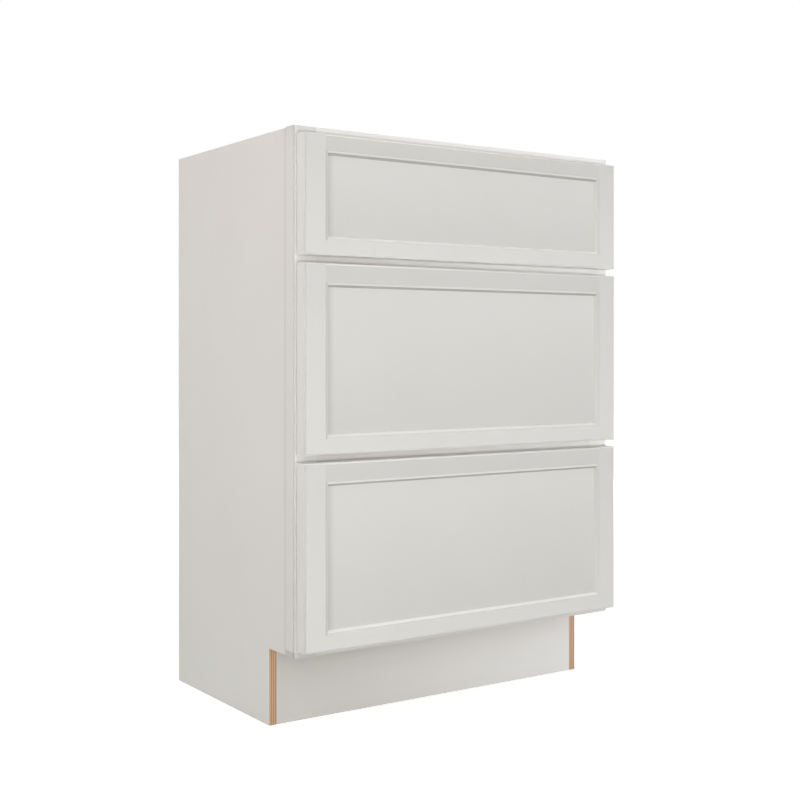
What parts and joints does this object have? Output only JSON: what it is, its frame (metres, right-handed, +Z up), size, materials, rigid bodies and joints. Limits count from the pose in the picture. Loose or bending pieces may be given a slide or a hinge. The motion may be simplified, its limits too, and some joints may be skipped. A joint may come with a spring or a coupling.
{
  "type": "base cabinet with drawers",
  "caption": "Off-white face-frame base cabinet with a shallow drawer over deeper ones, flat-panel drawer fronts, telescopic slides and a recessed toe space.",
  "frame": {"origin": "on the floor, midway across the width and midway between the faces of the drawer fronts and the back", "axes": "+X to the viewer's right, +Y into the cabinet so the drawers open toward -Y, +Z up"},
  "size_m": [0.6096, 0.4144, 0.8763],
  "materials": {
    "painted_wood": "smooth off-white satin paint over wood",
    "clear_coated_plywood": "clear-coated veneer plywood with bare edges",
    "drawer_box_wood": "clear-coated light hardwood",
    "zinc_plated_steel": "bright zinc-plated sheet and fasteners",
    "clear_bumper": "soft translucent"
  },
  "bodies": {
    "cabinet": {"side_panel_left": "painted_wood", "side_panel_right": "painted_wood", "deck_panel": "clear_coated_plywood", "back_panel": "clear_coated_plywood", "toe_kick_board": "painted_wood", "hanging_rail": "clear_coated_plywood", "corner_braces": "clear_coated_plywood", "face_frame_stile_left": "painted_wood", "face_frame_stile_right": "painted_wood", "face_frame_top_rail": "painted_wood", "face_frame_upper_middle_rail": "painted_wood", "face_frame_lower_middle_rail": "painted_wood", "face_frame_bottom_rail": "painted_wood", "slide_cleats": "clear_coated_plywood", "slide_screws": "zinc_plated_steel", "slide_cabinet_channels_upper": "zinc_plated_steel", "slide_cabinet_channels_middle": "zinc_plated_steel", "slide_cabinet_channels_lower": "zinc_plated_steel"},
    "drawer_upper": {"drawer_upper_front_stile_left": "painted_wood", "drawer_upper_front_stile_right": "painted_wood", "drawer_upper_front_rail_top": "painted_wood", "drawer_upper_front_rail_bottom": "painted_wood", "drawer_upper_front_panel": "painted_wood", "drawer_upper_bumpers": "clear_bumper", "drawer_upper_box_side_left": "drawer_box_wood", "drawer_upper_box_side_right": "drawer_box_wood", "drawer_upper_box_front": "drawer_box_wood", "drawer_upper_box_back": "drawer_box_wood", "drawer_upper_box_bottom": "drawer_box_wood", "drawer_upper_front_screws": "zinc_plated_steel", "slide_drawer_channels_upper": "zinc_plated_steel"},
    "slides_upper": {"slide_intermediate_channels_upper": "zinc_plated_steel"},
    "drawer_middle": {"drawer_middle_front_stile_left": "painted_wood", "drawer_middle_front_stile_right": "painted_wood", "drawer_middle_front_rail_top": "painted_wood", "drawer_middle_front_rail_bottom": "painted_wood", "drawer_middle_front_panel": "painted_wood", "drawer_middle_bumpers": "clear_bumper", "drawer_middle_box_side_left": "drawer_box_wood", "drawer_middle_box_side_right": "drawer_box_wood", "drawer_middle_box_front": "drawer_box_wood", "drawer_middle_box_back": "drawer_box_wood", "drawer_middle_box_bottom": "drawer_box_wood", "drawer_middle_front_screws": "zinc_plated_steel", "slide_drawer_channels_middle": "zinc_plated_steel"},
    "slides_middle": {"slide_intermediate_channels_middle": "zinc_plated_steel"},
    "drawer_lower": {"drawer_lower_front_stile_left": "painted_wood", "drawer_lower_front_stile_right": "painted_wood", "drawer_lower_front_rail_top": "painted_wood", "drawer_lower_front_rail_bottom": "painted_wood", "drawer_lower_front_panel": "painted_wood", "drawer_lower_bumpers": "clear_bumper", "drawer_lower_box_side_left": "drawer_box_wood", "drawer_lower_box_side_right": "drawer_box_wood", "drawer_lower_box_front": "drawer_box_wood", "drawer_lower_box_back": "drawer_box_wood", "drawer_lower_box_bottom": "drawer_box_wood", "drawer_lower_front_screws": "zinc_plated_steel", "slide_drawer_channels_lower": "zinc_plated_steel"},
    "slides_lower": {"slide_intermediate_channels_lower": "zinc_plated_steel"}
  },
  "joints": [
    {"name": "drawer_upper_slide", "type": "slide", "parent": "cabinet", "child": "drawer_upper", "axis": [0, -1, 0], "range_m": [0, 0.345]},
    {"name": "slides_upper_extend", "type": "slide", "parent": "cabinet", "child": "slides_upper", "axis": [0, -1, 0], "range_m": [0, 0.1725]},
    {"name": "drawer_middle_slide", "type": "slide", "parent": "cabinet", "child": "drawer_middle", "axis": [0, -1, 0], "range_m": [0, 0.345]},
    {"name": "slides_middle_extend", "type": "slide", "parent": "cabinet", "child": "slides_middle", "axis": [0, -1, 0], "range_m": [0, 0.1725]},
    {"name": "drawer_lower_slide", "type": "slide", "parent": "cabinet", "child": "drawer_lower", "axis": [0, -1, 0], "range_m": [0, 0.345]},
    {"name": "slides_lower_extend", "type": "slide", "parent": "cabinet", "child": "slides_lower", "axis": [0, -1, 0], "range_m": [0, 0.1725]}
  ],
  "couplings": [
    {"joint": "slides_upper_extend", "follows": "drawer_upper_slide", "ratio": 0.5},
    {"joint": "slides_middle_extend", "follows": "drawer_middle_slide", "ratio": 0.5},
    {"joint": "slides_lower_extend", "follows": "drawer_lower_slide", "ratio": 0.5}
  ]
}
